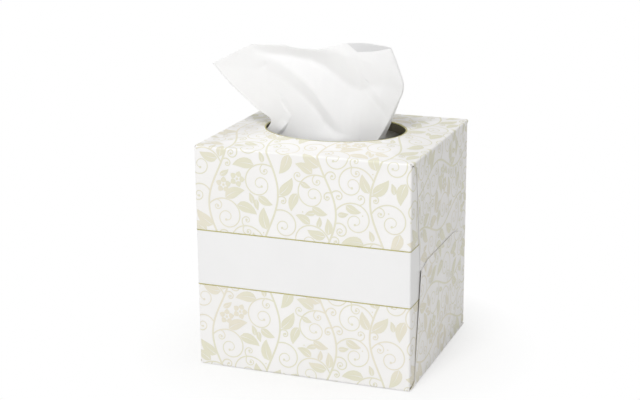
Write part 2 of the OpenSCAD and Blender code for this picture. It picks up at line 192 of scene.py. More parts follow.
# Light, in metres: each lamp's place, diameter and power
LAMPS = {
    "key": ((-0.06, -1.09, 1.38), 0.45, 12.8),
    "top": ((-0.1, 0.25, 1.7), 1.0, 3.8)}
LAMP_AIM = (0.0, 0.0, 0.1)
WHITE = (1.0, 1.0, 1.0, 1.0)
SKY_COLOR = (1.0, 0.993, 0.97, 1.0)
SKY_STRENGTH = 0.52

# Floor, in metres: its shadow fades out between two distances from the middle
FLOOR_HALF = 3.0
FLOOR_DROP = 0.0002
FLOOR_COLOR = (0.9, 0.9, 0.9, 1.0)
FADE_REACH = (0.06, 0.115)
FADE_WHITE = (0.55, 1.0)


def make_lamps():
    """A key lamp in front of the box, and a weaker and wider one above it."""
    for name, (place, size, power) in LAMPS.items():
        data = bpy.data.lights.new(name, "AREA")
        data.shape = "DISK"
        data.size = size
        data.energy = power
        lamp = bpy.data.objects.new(name, data)
        lamp.location = place
        lamp.rotation_euler = (Vector(place) - Vector(LAMP_AIM)).to_track_quat("Z", "Y").to_euler()
        bpy.context.scene.collection.objects.link(lamp)


def make_world():
    """A soft sky that lights the box, and plain white where the camera sees it."""
    world = bpy.data.worlds.new("studio")
    bpy.context.scene.world = world
    world.use_nodes = True
    tree = world.node_tree
    tree.nodes.clear()
    path = add_node(tree, "LightPath").outputs
    seen = add_math(tree, "Math", "MAXIMUM", path["Is Camera Ray"], path["Is Transmission Ray"])[0]
    sky = add_node(tree, "Background", {"Color": SKY_COLOR, "Strength": SKY_STRENGTH})
    plain = add_node(tree, "Background", {"Color": WHITE, "Strength": 1.0})
    end_in_mix(tree, "OutputWorld", seen, sky, plain)


def make_floor():
    """A white floor that keeps the soft shadow close to the carton."""
    r = FLOOR_HALF
    mesh = bpy.data.meshes.new("floor")
    mesh.from_pydata([(-r, -r, 0), (r, -r, 0), (r, r, 0), (-r, r, 0)], [], [(0, 1, 2, 3)])
    floor = bpy.data.objects.new("floor", mesh)
    bpy.context.scene.collection.objects.link(floor)
    floor.location.z = -FLOOR_DROP
    material = bpy.data.materials.new("floor_white")
    material.use_nodes = True
    tree = material.node_tree
    tree.nodes.clear()
    lit = add_node(tree, "BsdfDiffuse", {"Color": FLOOR_COLOR})
    glow = add_node(tree, "Emission", {"Color": WHITE, "Strength": 1.0})
    place = add_node(tree, "NewGeometry").outputs["Position"]
    distance = add_math(tree, "VectorMath", "LENGTH", place)["Value"]
    seen = add_node(tree, "LightPath").outputs["Is Camera Ray"]
    share = add_math(tree, "Math", "MULTIPLY", map_range(tree, distance, FADE_REACH, FADE_WHITE), seen)[0]
    end_in_mix(tree, "OutputMaterial", share, lit, glow)
    mesh.materials.append(material)


def srgb(r, g, b):
    """A colour given as 0 to 255 on the screen."""
    lin = [((c / 255 + 0.055) / 1.055) ** 2.4 if c > 10 else c / 255 / 12.92 for c in (r, g, b)]
    return (*lin, 1.0)


# Materials: each colour drifts between two shades, and DRIFT is the range of the noise that it follows
BOARD_WHITE = (srgb(246, 245, 245), srgb(243, 242, 241))
BOARD_INSIDE = (srgb(216, 211, 190), srgb(202, 196, 174))
GLUE_YELLOW = (srgb(214, 200, 160), srgb(190, 176, 132))
TISSUE_WHITE = (srgb(252, 252, 253), srgb(248, 248, 250))
PRINT_KHAKI = (srgb(228, 226, 206), srgb(232, 227, 211))
LINE_OLIVE = (srgb(190, 184, 118), srgb(176, 170, 104))
BAND_WHITE = (srgb(241, 241, 242), srgb(240, 240, 241))
BOARD_DRIFT = (0.35, 0.65)
INK_DRIFT = (0.5, 0.62)
FACING_SOFT = 0.004
CREPE_STRETCH = (0.35, 0.35, 1.6)


def new_material(name, values):
    """A material, its node tree, and its Principled shader with values by socket."""
    material = bpy.data.materials.new(name)
    material.use_nodes = True
    tree = material.node_tree
    shader = tree.nodes["Principled BSDF"]
    for socket, value in values.items():
        shader.inputs[socket].default_value = value
    return material, tree, shader


def coated_finish(tree, shader):
    """Fine unevenness of a coated and varnished board."""
    broad = noise(tree, scale=60.0, detail=2.0)
    fine = noise(tree, scale=900.0, detail=2.0)
    height = add_math(tree, "Math", "MULTIPLY_ADD", fine, 0.25, broad)[0]
    add_bump(tree, shader, height, strength=0.12, distance=0.0004)
    feed(tree, map_range(tree, broad, (0.3, 0.7), (0.33, 0.42)), shader.inputs["Roughness"])


def board_material():
    """White coated board outside, plain grey-brown board on the faces that look inwards."""
    material, tree, shader = new_material("board_coated", {"IOR": 1.5})
    here = add_node(tree, "NewGeometry").outputs
    middle = (0.0, 0.0, CARTON_H / 2 * MM)
    outward = add_math(tree, "VectorMath", "SUBTRACT", here["Position"], middle)["Vector"]
    facing = add_math(tree, "VectorMath", "DOT_PRODUCT", outward, here["True Normal"])["Value"]
    coated = map_range(tree, facing, (-FACING_SOFT, FACING_SOFT))
    tone = map_range(tree, noise(tree, scale=35.0, detail=2.0), BOARD_DRIFT)
    fibres = map_range(tree, noise(tree, scale=1400.0, detail=4.0, rough=0.6), BOARD_DRIFT)
    outside = mix_colors(tree, tone, *BOARD_WHITE)
    inside = mix_colors(tree, fibres, *BOARD_INSIDE)
    feed(tree, mix_colors(tree, coated, inside, outside), shader.inputs["Base Color"])
    coated_finish(tree, shader)
    return material


def ink_material(name, shades, scale):
    """Ink under the varnish of the board."""
    material, tree, shader = new_material(name, {"IOR": 1.5})
    drift = map_range(tree, noise(tree, scale, detail=1.0), INK_DRIFT)
    feed(tree, mix_colors(tree, drift, *shades), shader.inputs["Base Color"])
    coated_finish(tree, shader)
    return material


def glue_material():
    """Hardened glue, a little lumpy."""
    material, tree, shader = new_material("glue_dry", {"Roughness": 0.5, "IOR": 1.5})
    tone = noise(tree, scale=300.0)
    feed(tree, mix_colors(tree, tone, *GLUE_YELLOW), shader.inputs["Base Color"])
    add_bump(tree, shader, tone, strength=0.2, distance=0.0003)
    return material


def tissue_material():
    """Soft creped paper: matt, a little translucent, with fine cross creping."""
    material, tree, shader = new_material("tissue_paper", {
        "Roughness": 0.9, "IOR": 1.3, "Specular IOR Level": 0.15,
        "Sheen Weight": 0.12, "Sheen Roughness": 0.6,
        "Subsurface Weight": 0.5, "Subsurface Radius": (1.0, 1.0, 1.0), "Subsurface Scale": 0.0006})
    feed(tree, mix_colors(tree, noise(tree, scale=120.0), *TISSUE_WHITE), shader.inputs["Base Color"])
    place = add_node(tree, "TexCoord").outputs["Object"]
    stretched = add_math(tree, "VectorMath", "MULTIPLY", place, CREPE_STRETCH)["Vector"]
    crepe = noise(tree, scale=1500.0, detail=2.0, place=stretched)
    add_bump(tree, shader, crepe, strength=0.25, distance=0.0002)
    return material


# The raised sheet, on a finer grid than in the part's source. It has a front and a back layer, joined by a
# turn at the right, and both go on from the neck into a skirt that lies over the pack's arch.
TISSUE_T = 0.25
RISE_H = 48.5  # the peak, above the opening's rim
NECK_DROP = 4.0  # the neck, below the rim
NECK_B = 9.0  # depth of the neck, the unit of the fold lines' depths
OPEN_B = 7.0  # depth of the back layer at the free edge
FOLD_SOFT = 0.026  # rounding of the folds, as a share of the height
SOFT_STEPS = 3
END_FADE = 0.12  # how much of a crease is left at its ends
CLOSE_A = 0.68  # share of the way across at which the layers start to close
CLOSE_POWER = 1.3
TURN_A = 0.94  # share of the way across at which the turn starts
TURN_X = 0.012  # share of the width that the turn takes
TURN_SHARE = 0.3  # share of the depth that is left where the turn starts
NECK_SHARE = 0.5  # what is added to it at the neck
NECK_REACH = 0.6
LENS = 0.55  # how far the back layer closes towards the turn
BACK_WAVE = 1.6
BACK_WAVES = 1.5
LAY_GAP = 0.7  # gap under the skirt
TURN_GAP = 1.7  # gap between the skirt and its turned-back part
SKIRT_L = 70.0  # reach of the skirt along the arch
SKIRT_IN = 2.4  # its distance from the pack's front and back
SIDE_GAP = 20.0  # angle that it leaves open at the left
SETTLE = 0.4  # share of the skirt on which it comes down to the arch
GATHERS = 13
GATHER_H = 3.4
UNDER_REACH = 0.9  # share of the skirt that the turned-back part covers

# Edges of the raised sheet, in shares of the opening's width and of the height from the neck to the peak
LEFT_EDGE = [
    (-0.5, 0), (-0.44, 0.145), (-0.54, 0.24), (-0.645, 0.36), (-0.755, 0.49), (-0.895, 0.7)]
RIGHT_EDGE = [
    (0.35, 0), (0.405, 0.18), (0.455, 0.37), (0.495, 0.56), (0.455, 0.76), (0.405, 0.945)]
TOP_EDGE = [
    (-0.895, 0.7), (-0.59, 0.93), (-0.33, 0.945), (-0.235, 0.92), (-0.085, 0.92),
    (0.115, 1), (0.19, 0.91), (0.29, 0.915), (0.405, 0.945)]
BACK_LEFT_EDGE = [
    (-0.5, 0), (-0.44, 0.145), (-0.485, 0.305), (-0.55, 0.455), (-0.605, 0.61), (-0.64, 0.745)]
BACK_TOP_EDGE = [
    (-0.64, 0.745), (-0.515, 0.8), (-0.385, 0.82), (-0.255, 0.84), (-0.16, 0.87),
    (0.05, 0.95), (0.185, 0.965), (0.385, 0.955), (0.405, 0.945)]

# Fold lines across the front layer from the neck up, each point with its depth as a share of NECK_B
FOLD_LINES = [
    [(-0.53, 0.05, 0.85), (-0.37, 0.05, 1.15), (-0.295, 0.05, 1.3), (-0.13, 0.05, 1.7),
     (0.075, 0.05, 1.85), (0.225, 0.05, 1.62), (0.51, 0.05, 1.05)],
    [(-0.89, 0.69, 0.65), (-0.6, 0.68, 0.67), (-0.475, 0.65, 0.7), (-0.38, 0.61, 0.78),
     (-0.295, 0.54, 0.87), (-0.195, 0.435, 0.96), (-0.1, 0.315, 1.07), (-0.03, 0.19, 1.18),
     (0.055, 0.09, 1.5), (0.125, 0.06, 1.65), (0.225, 0.06, 1.6), (0.51, 0.06, 1.05)],
    [(-0.89, 0.695, 0.66), (-0.6, 0.8, 0.71), (-0.465, 0.79, 0.79), (-0.37, 0.76, 0.87),
     (-0.285, 0.69, 0.97), (-0.185, 0.59, 1.08), (-0.09, 0.475, 1.2), (-0.06, 0.4, 1.25),
     (0.03, 0.255, 1.36), (0.125, 0.13, 1.5), (0.225, 0.07, 1.58), (0.51, 0.07, 1.0)],
    [(-0.89, 0.697, 0.66), (-0.595, 0.895, 0.72), (-0.515, 0.85, 0.63), (-0.425, 0.827, 0.55),
     (-0.31, 0.82, 0.49), (-0.155, 0.795, 0.43), (-0.055, 0.73, 0.39), (0.02, 0.65, 0.42),
     (0.12, 0.56, 0.5), (0.21, 0.525, 0.61), (0.285, 0.555, 0.61), (0.355, 0.57, 0.56),
     (0.425, 0.545, 0.44), (0.495, 0.51, 0.33)],
    [(-0.89, 0.699, 0.66), (-0.59, 0.925, 0.74), (-0.33, 0.935, 0.93), (-0.235, 0.912, 0.9),
     (-0.085, 0.91, 0.96), (0.063, 0.905, 1), (0.12, 0.87, 1.03), (0.19, 0.868, 1.05),
     (0.3, 0.8, 0.94), (0.345, 0.735, 0.83), (0.43, 0.67, 0.61), (0.5, 0.575, 0.39)],
    [(-0.89, 0.7, 0.66), (-0.59, 0.93, 0.74), (-0.33, 0.945, 0.93), (-0.235, 0.92, 0.9),
     (-0.085, 0.92, 0.96), (0.115, 1, 0.9), (0.19, 0.91, 1), (0.29, 0.915, 0.83),
     (0.405, 0.945, 0.4)]]

# Short creases on it: height towards the front, reach on each side, then the line
CREASES = [
    (2.0, 3.3, 9, [(0.285, 0.57), (0.345, 0.455), (0.42, 0.31)]),
    (-0.7, 1.2, 3, [(-0.365, 0.38), (-0.34, 0.325), (-0.305, 0.26)]),
    (2.2, 4.5, 1, [(-0.305, 0.15), (-0.335, 0.08), (-0.375, 0.025)]),
    (-0.5, 2.6, 2.6, [(-0.51, 0.69), (-0.49, 0.72), (-0.475, 0.75)])]

# Grid of the sheet
FRONT_COLS = 184
BACK_COLS = 100
RISE_ROWS = 104
SKIRT_ROWS = 24
TURN_ROWS = 6
UNDER_ROWS = 8
ALMOST_ONE = 0.99999
TINY = 1e-6


def spline(points, u):
    """Smooth curve through points, which u reaches at even steps from 0 to 1."""
    p = np.asarray(points, float)
    n = len(p) - 1
    s = np.clip(u, 0.0, ALMOST_ONE) * n
    i = np.floor(s).astype(int)
    t = (s - i)[..., None]
    a, b, c, d = p[np.maximum(i - 1, 0)], p[i], p[i + 1], p[np.minimum(i + 2, n)]
    return (b + (c - a) * t / 2 + (2 * a - 5 * b + 4 * c - d) * t ** 2 / 2
            + (3 * b - a - 3 * c + d) * t ** 3 / 2)


def drawn(p):
    """Shares of the opening's width and of the sheet's height, as millimetres."""
    return np.asarray(p) * (HOLE_W, RISE_H + NECK_DROP) - (0.0, NECK_DROP)


def nearest(p, line):
    """Distance from points to a line, its side, and the share of the way along it."""
    best = np.full(p.shape[:-1], np.inf)
    side = np.ones_like(best)
    along = np.zeros_like(best)
    for k in range(len(line) - 1):
        d = line[k + 1] - line[k]
        q = p - line[k]
        t = np.clip(q @ d / (d @ d), 0.0, 1.0)
        gap = np.linalg.norm(q - t[..., None] * d, axis=-1)
        near = gap < best
        best = np.where(near, gap, best)
        side = np.where(near, np.sign(d[0] * q[..., 1] - d[1] * q[..., 0]), side)
        along = np.where(near, (k + t) / (len(line) - 1), along)
    return best, side, along


def crease_height(p):
    """How far the short creases stand towards the front, for points in millimetres."""
    total = np.zeros(p.shape[:-1])
    for height, reach_minus, reach_plus, line in CREASES:
        gap, side, along = nearest(p, drawn(line))
        fade = np.sin(np.pi * (END_FADE + (1 - 2 * END_FADE) * along))
        total += height * fade * np.maximum(0.0, 1 - gap / np.where(side < 0, reach_minus, reach_plus))
    return total


def facet_depth(x, z):
    """Depth of the flat facets between the fold lines, for points in shares."""
    z_of = [np.interp(x, [q[0] for q in line], [q[1] for q in line]) for line in FOLD_LINES]
    d_of = [np.interp(x, [q[0] for q in line], [q[2] for q in line]) for line in FOLD_LINES]
    out = np.where(z <= z_of[0], d_of[0], d_of[-1])
    for z0, z1, d0, d1 in zip(z_of, z_of[1:], d_of, d_of[1:]):
        f = np.clip((z - z0) / np.maximum(z1 - z0, TINY), 0.0, 1.0)
        out = np.where((z > z0) & (z <= z1), d0 + (d1 - d0) * f, out)
    return out


def fold_depth(p):
    """Depth of the front layer, for points in shares: its facets, averaged over a little height."""
    steps = range(-SOFT_STEPS, SOFT_STEPS + 1)
    return sum(facet_depth(p[..., 0], p[..., 1] + FOLD_SOFT * k / SOFT_STEPS) for k in steps) / len(steps)


def turn_angle(a):
    """Angle round the turn at the right, from 0 where it starts to a right angle at its edge."""
    return np.pi / 2 * np.clip((a - TURN_A) / (1 - TURN_A), 0.0, 1.0)


def across(a):
    """Share of the width from the side edge to the turn, with the turn itself round."""
    return np.where(a < TURN_A, a * (1 - TURN_X) / TURN_A, 1 - TURN_X + TURN_X * np.sin(turn_angle(a)))


def depth(a, t):
    """Share of a layer's depth, which closes towards the turn: crisp at the top, rounder at the neck."""
    close = np.clip((a - CLOSE_A) / (TURN_A - CLOSE_A), 0.0, 1.0)
    share = TURN_SHARE + NECK_SHARE * np.maximum(0.0, 1 - t / NECK_REACH) ** 2
    return (1 - (1 - share) * close ** CLOSE_POWER) * np.cos(turn_angle(a))


def patch(left, right, top, a, t):
    """Patch between the neck and three edges, the top one given by its height over X."""
    left, right, top = (np.asarray(e, float) for e in (left, right, top))
    a1, t1 = a[..., None], t[..., None]
    low = left[0] + (right[0] - left[0]) * a1
    top_x = top[0, 0] + (top[-1, 0] - top[0, 0]) * a
    high = np.stack([top_x, np.interp(top_x, top[:, 0], top[:, 1])], -1)
    corners = (left[0] * (1 - a1) + right[0] * a1) * (1 - t1) + (left[-1] * (1 - a1) + right[-1] * a1) * t1
    return spline(left, t) * (1 - a1) + spline(right, t) * a1 + low * (1 - t1) + high * t1 - corners


def risen(u, t):
    """The part above the neck: u runs round both layers, t from the neck to the free edge."""
    u, t = np.broadcast_arrays(np.asarray(u, float), np.asarray(t, float))
    front = u < 0.5
    a = np.where(front, 2 * u, 2 - 2 * u)
    g = across(a)
    share = np.where(front[..., None], patch(LEFT_EDGE, RIGHT_EDGE, TOP_EDGE, g, t),
                     patch(BACK_LEFT_EDGE, RIGHT_EDGE, BACK_TOP_EDGE, g, t))
    p = drawn(share)
    y_front = NECK_B * fold_depth(share) + crease_height(p)
    y_back = (NECK_B + (OPEN_B - NECK_B) * t) * (1 - LENS * a ** 3)
    y_back += BACK_WAVE * np.sin(2 * np.pi * BACK_WAVES * a) * t
    y = np.where(front, -y_front, y_back) * depth(a, t)
    return np.stack([p[..., 0], y, RIM_Z + p[..., 1]], -1)


def arch_point(s, y, off):
    """A point over the pack, s along its arch from the middle, off above it."""
    a = np.maximum(0.0, np.abs(s) - ARCH_FLAT) / ARCH_R
    x = np.minimum(np.abs(s), ARCH_FLAT) + (ARCH_R + off) * np.sin(a)
    return np.stack([np.where(s < 0, -x, x), y, CROWN_Z - ARCH_R + (ARCH_R + off) * np.cos(a)], -1)


def arch_s(x):
    """The way along the arch to the place under x."""
    beyond = np.clip((np.abs(x) - ARCH_FLAT) / ARCH_R, 0.0, 1.0)
    return np.sign(x) * np.where(np.abs(x) <= ARCH_FLAT, np.abs(x), ARCH_FLAT + ARCH_R * np.arcsin(beyond))


def skirt_at(u, w):
    """Place along and across the arch: u runs round the skirt, w from the neck to its edge."""
    neck = risen(u, 0.0)
    q = (2 * u - 1) * math.radians(180 - SIDE_GAP / 2)
    s = arch_s(neck[..., 0]) * (1 - w) + SKIRT_L * np.cos(q) * w
    y = neck[..., 1] * (1 - w) + (pack_hi[1] - SKIRT_IN) * np.sin(q) * w
    return s, y


def skirt(u, w):
    """The gathered part of the sheet that comes down from the neck to the arch."""
    s, y = skirt_at(u, w)
    k = min(1.0, w / SETTLE)
    ease = k * k * (3 - 2 * k)
    wave = GATHER_H * (1 - np.cos(2 * np.pi * GATHERS * u)) / 2 * np.sin(np.pi * w)
    low = arch_point(s, y, LAY_GAP + TURN_GAP + wave)
    return risen(u, 0.0) * (1 - ease) + low * ease


def turned(u, q):
    """The round edge of the skirt, from its upper side at q = 0 to its lower side at q = pi."""
    s, y = skirt_at(u, 1.0)
    r = TURN_GAP / 2
    grow = 1 + r * np.sin(q) / np.hypot(s, y)
    return arch_point(s * grow, y * grow, LAY_GAP + r + r * np.cos(q))


def under(u, w):
    """The part that is turned back under the skirt, w from the middle to its edge."""
    s, y = skirt_at(u, 1.0)
    return arch_point(s * w, y * w, LAY_GAP)


def sheet_grid():
    """Points of the whole sheet, from the free edge down to the end of the turned-back part."""
    u = np.concatenate([np.linspace(0.0, 0.5, FRONT_COLS + 1), np.linspace(0.5, 1.0, BACK_COLS + 1)[1:]])
    rows = [risen(u, 1 - j / RISE_ROWS) for j in range(RISE_ROWS + 1)]
    rows += [skirt(u, j / SKIRT_ROWS) for j in range(1, SKIRT_ROWS + 1)]
    rows += [turned(u, math.pi * j / TURN_ROWS) for j in range(1, TURN_ROWS + 1)]
    rows += [under(u, 1 - UNDER_REACH * j / UNDER_ROWS) for j in range(1, UNDER_ROWS + 1)]
    return np.stack(rows)


def thicken(grid, thickness):
    """A closed sheet about a grid of points."""
    m, n = grid.shape[:2]
    normal = np.cross(np.gradient(grid, axis=1), np.gradient(grid, axis=0))
    normal /= np.linalg.norm(normal, axis=-1, keepdims=True)
    points = np.concatenate([(grid - normal * thickness / 2).reshape(-1, 3),
                             (grid + normal * thickness / 2).reshape(-1, 3)])
    low = m * n
    j, i = np.meshgrid(np.arange(m - 1), np.arange(n - 1), indexing="ij")
    a = (j * n + i).ravel()
    skin = np.stack([a, a + n, a + n + 1, a + 1], 1)
    faces = [tuple(f) for f in skin] + [tuple(f[::-1] + low) for f in skin]
    rim = [(i, i + 1) for i in range(n - 1)]
    rim += [((j + 1) * n - 1, (j + 2) * n - 1) for j in range(m - 1)]
    rim += [((m - 1) * n + i + 1, (m - 1) * n + i) for i in range(n - 1)]
    rim += [((j + 1) * n, j * n) for j in range(m - 1)]
    faces += [(p, q, q + low, p + low) for p, q in rim]
    return points, faces


def make_raised_sheet(material):
    """The sheet that stands up through the opening, in place of its plain solid."""
    points, faces = thicken(sheet_grid(), TISSUE_T)
    piece = make_mesh("raised_tissue", points, faces, material)
    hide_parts("popup_tissue")


# Print of the carton: a design of its own with stems, curls, leaves and blossoms, drawn as one tile of the
# flat board. Each column of tiles is half a tile higher than the one before it.
TILE_U = 60.5
TILE_V = 74.0
STEMS = [(14.0, 5.5, 0.0), (43.0, 5.0, 2.4)]  # place, sway and phase
STEM_STEPS = 75
STEM_W = 1.05

# Each motif lies INK_STEP higher than the one before it, so that no two are in one plane where they meet
INK_T = 0.03
INK_STEP = 0.0003
LINE_H = 0.13  # height of the band's lines

# Curls: the first radius goes down from CURL_R by CURL_LESS until there is room, and the last one is CURL_EYE
# of it. The points of a curl are CURL_STEP apart, and it bends by CURL_BEND at most from one to the next.
CURL_W = 0.75
CURL_END_W = 0.38
CURL_R = 12.0
CURL_LEAST = 3.0
CURL_LESS = 0.8
CURL_LEANS = (28, 42, 56)  # angles from the stroke that it grows from
CURL_TIGHT = 4.0  # radius below which a curl has fewer turns
CURL_TURNS = (1.3, 1.75)
CURL_EYE = 0.13
CURL_STEP = 0.9
CURL_BEND = 0.5
CURL_GAP = 0.9
ROOT_CLEAR = 1.6  # way from its root in which a curl may touch the stroke
KNOB_R = 0.7

# Places where curls start: points of a stem for large and for small ones, and shares of a large curl
LARGE_ROOTS = range(4, 74, 17)
SMALL_ROOTS = range(6, 70, 8)
TWIG_ROOTS = (0.1, 0.25)
SMALL_R = 0.8  # in shares of CURL_R
TWIG_R = 0.7
TWIG_W = 0.8

# Leaves: their lengths from the longest on, and in shares of the length their width and a spine of circles
# that stands for them when their place is looked for
LEAF_LENGTHS = (12.4, 10.8, 9.2)
LEAF_W = 0.48
LEAF_LEAN = 0.72  # below 1, it is widest nearer to its stalk
LEAF_ROUND = 0.9
LEAF_CURVE = 0.35  # half the angle by which it bends
LEAF_ANGLES = (40, 60)
LEAF_GAP = 0.5
LEAF_STALK = 0.5
LEAF_EVERY = 4  # points of a stroke from one pair of leaves to the next
LEAF_ENDS = (3, 4)  # points without leaves at its ends
SPINE_AT = np.array([0.4, 0.58, 0.78, 1.0])
SPINE_R = np.array([0.16, 0.24, 0.2, 0.08])
RIB_W = 0.45  # bare midrib at the stalk, which narrows to nothing at RIB_REACH
RIB_REACH = 0.75

# Blossoms, in shares of their radius
PETALS = 5
EYE_R = 0.17
PETAL_AT = 0.28
PETAL_L = 0.74

# Small motifs for what is left: the radius that they need, their kind, and how many places are tried
FILLERS = ((4.4, "blossom", 500), (3.3, "leaf", 600), (2.5, "leaf", 500), (1.3, "dot", 60))
FILL_LEAF_MORE = 1.2  # length of such a leaf beyond twice its radius
FILL_LEAF_CURVE = 0.3
DOT_R = 0.42
DOT_CLEAR = 0.5
SEED = 5


def curl(x, y, heading, hand, r0, r1, turns, w0, w1):
    """Points (x, y, half width) of a stroke that winds in from radius r0 to r1."""
    total = 2 * math.pi * turns
    shrink = math.log(r0 / r1) / total
    out, phi = [], 0.0
    while phi < total:
        r = r0 * math.exp(-shrink * phi)
        out.append((x, y, (w0 + (w1 - w0) * phi / total) / 2))
        d = min(CURL_STEP / r, CURL_BEND)
        h = heading + hand * (phi + d / 2)
        x += r * d * math.cos(h)
        y += r * d * math.sin(h)
        phi += d
    return np.array(out)


def ribbon(path):
    """Quads along a stroke."""
    d = np.gradient(path[:, :2], axis=0)
    d /= np.linalg.norm(d, axis=1)[:, None]
    n = np.stack([-d[:, 1], d[:, 0]], 1) * path[:, 2:]
    a, b = path[:, :2] + n, path[:, :2] - n
    return [np.array([a[i], b[i], b[i + 1], a[i + 1]]) for i in range(len(a) - 1)]


def leaf(x, y, heading, length, width, curve, rib=RIB_W, rows=7):
    """A pointed leaf in two halves, with a bare midrib."""
    t = np.arange(rows + 1) / rows
    h = heading + 2 * curve * t
    step = length / rows * np.stack([np.cos(h), np.sin(h)], 1)
    mid = np.array([x, y]) + np.concatenate([[[0, 0]], np.cumsum(step[:-1], 0)])
    sideways = np.stack([-np.sin(h), np.cos(h)], 1)
    outer = width / 2 * np.sin(np.pi * t ** LEAF_LEAN) ** LEAF_ROUND
    outer[[0, -1]] = 0.0
    inner = np.minimum(rib / 2 * np.maximum(0.0, 1 - t / RIB_REACH), outer)
    out = []
    for side in (1, -1):
        p = mid + sideways * inner[:, None] * side
        q = mid + sideways * outer[:, None] * side
        quads = [np.array([p[k], p[k + 1], q[k + 1], q[k]]) for k in range(rows)]
        out += quads if side > 0 else [quad[::-1] for quad in quads]
    return out


def disc(x, y, r, sides=9):
    """A round dot."""
    a = np.arange(sides) * 2 * math.pi / sides
    return [np.stack([x + r * np.cos(a), y + r * np.sin(a)], 1)]


def blossom(x, y, r, turn):
    """Petals round a dot."""
    out = disc(x, y, r * EYE_R)
    for k in range(PETALS):
        h = turn + 2 * math.pi * k / PETALS
        at = x + r * PETAL_AT * math.cos(h), y + r * PETAL_AT * math.sin(h)
        out += leaf(*at, h, r * PETAL_L, r * PETAL_L, curve=0.0, rib=0.0, rows=5)
    return out


def heading_of(path, i):
    """Direction of a stroke at one of its points."""
    return math.atan2(path[i + 1, 1] - path[i, 1], path[i + 1, 0] - path[i, 0])


def at_height(outlines, height):
    """Flat outlines with a height above the board."""
    return [np.column_stack([o, np.full(len(o), height)]) for o in outlines]


class Tile:
    """Collects polygons and keeps new ones clear of those that are there."""

    def __init__(self):
        self.polygons = []
        self.motifs = 0
        self.taken = np.zeros((0, 3))

    def gap(self, path):
        """Least distance from circles (x, y, r) to what is on the tile and its neighbours."""
        path = np.atleast_2d(path)
        d = path[:, None, :2] - self.taken[None, :, :2]
        gaps = []
        for i in (-1, 0, 1):
            dx = d[..., 0] - i * TILE_U
            dy = d[..., 1] - i * TILE_V / 2
            dy -= np.round(dy / TILE_V) * TILE_V
            gaps.append(np.min(np.hypot(dx, dy) - self.taken[None, :, 2] - path[:, None, 2]))
        return min(gaps)

    def add(self, polygons, path):
        """Puts a motif on the tile, and the circles that it takes."""
        self.polygons += at_height(polygons, INK_T + INK_STEP * self.motifs)
        self.motifs += 1
        self.taken = np.concatenate([self.taken, np.atleast_2d(path)])


def grow_curls(tile, roots):
    """Curls from roots (path, index, side, width, reach), each as large as its place allows."""
    grown = []
    for path, i, side, width, reach in roots:
        x, y, w = path[i]
        heading = heading_of(path, i)
        for r, lean in [(r, lean) for r in np.arange(reach, CURL_LEAST, -CURL_LESS) for lean in CURL_LEANS]:
            turns = CURL_TURNS[0] if r < CURL_TIGHT else CURL_TURNS[1]
            start = heading + side * math.radians(lean)
            c = curl(x, y, start, side, r, r * CURL_EYE, turns, width, CURL_END_W)
            clear = c[np.hypot(c[:, 0] - x, c[:, 1] - y) > ROOT_CLEAR + w]
            if len(clear) and tile.gap(clear) > CURL_GAP:
                knob = (c[-1, 0], c[-1, 1], KNOB_R)
                tile.add(ribbon(c), c)
                tile.add(disc(*knob), knob)
                grown.append(c)
                break
    return grown


def grow_leaf(tile, point, heading, side):
    """A leaf from a point of a stroke, as long as its place allows, or none."""
    x, y, w = point
    for length in LEAF_LENGTHS:
        t = SPINE_AT * length
        h = heading - side * LEAF_CURVE * t / length
        spine = np.stack([x + t * np.cos(h), y + t * np.sin(h), length * SPINE_R], 1)
        if tile.gap(spine) > LEAF_GAP:
            out = w + LEAF_STALK
            at = x + out * math.cos(heading), y + out * math.sin(heading)
            tile.add(leaf(*at, heading, length, length * LEAF_W, -side * LEAF_CURVE), spine)
            return


def grow_leaves(tile, rng, paths, chance):
    """Leaves on both sides of strokes, where chance gives one and there is room for it."""
    for path in paths:
        for i in range(LEAF_ENDS[0], len(path) - LEAF_ENDS[1], LEAF_EVERY):
            for side in (1, -1):
                if rng.random() <= chance:
                    angle = math.radians(rng.uniform(*LEAF_ANGLES))
                    grow_leaf(tile, path[i], heading_of(path, i) + side * angle, side)


def filler(kind, x, y, r, turn):
    """A small motif round a free place, and the circle that it takes."""
    if kind == "blossom":
        return blossom(x, y, r, turn), (x, y, r)
    if kind == "dot":
        return disc(x, y, DOT_R, sides=7), (x, y, DOT_CLEAR)
    length = 2 * r + FILL_LEAF_MORE
    at = x - length / 2 * math.cos(turn), y - length / 2 * math.sin(turn)
    return leaf(*at, turn - FILL_LEAF_CURVE, length, length * LEAF_W, FILL_LEAF_CURVE), (x, y, r)


def make_tile():
    """The print's tile: stems, then curls and leaves from the large to the small, then fillers."""
    tile = Tile()
    rng = random.Random(SEED)
    stems = []
    for x0, sway, phase in STEMS:
        v = np.linspace(0.0, TILE_V, STEM_STEPS)
        x = x0 + sway * np.sin(2 * np.pi * v / TILE_V + phase)
        path = np.stack([x, v, np.full(STEM_STEPS, STEM_W / 2)], 1)
        tile.add(ribbon(path), path)
        stems.append(path)
    roots = [(path, i, (-1) ** k, CURL_W, CURL_R) for path in stems for k, i in enumerate(LARGE_ROOTS)]
    curls = grow_curls(tile, roots)
    grow_leaves(tile, rng, stems + curls, chance=0.62)
    roots = [(path, int(share * len(path)), side, CURL_W * TWIG_W, CURL_R * TWIG_R)
             for path in curls for share in TWIG_ROOTS for side in (-1, 1)]
    roots += [(path, i, side, CURL_W, CURL_R * SMALL_R)
              for path in stems for i in SMALL_ROOTS for side in (1, -1)]
    small = grow_curls(tile, roots)
    grow_leaves(tile, rng, small + stems, chance=0.7)
    for need, kind, tries in FILLERS:
        for _ in range(tries):
            x = rng.uniform(0, TILE_U)
            y = rng.uniform(0, TILE_V)
            turn = rng.uniform(0, 2 * math.pi)
            if tile.gap((x, y, need)) >= 0:
                tile.add(*filler(kind, x, y, need, turn))
    return tile.polygons


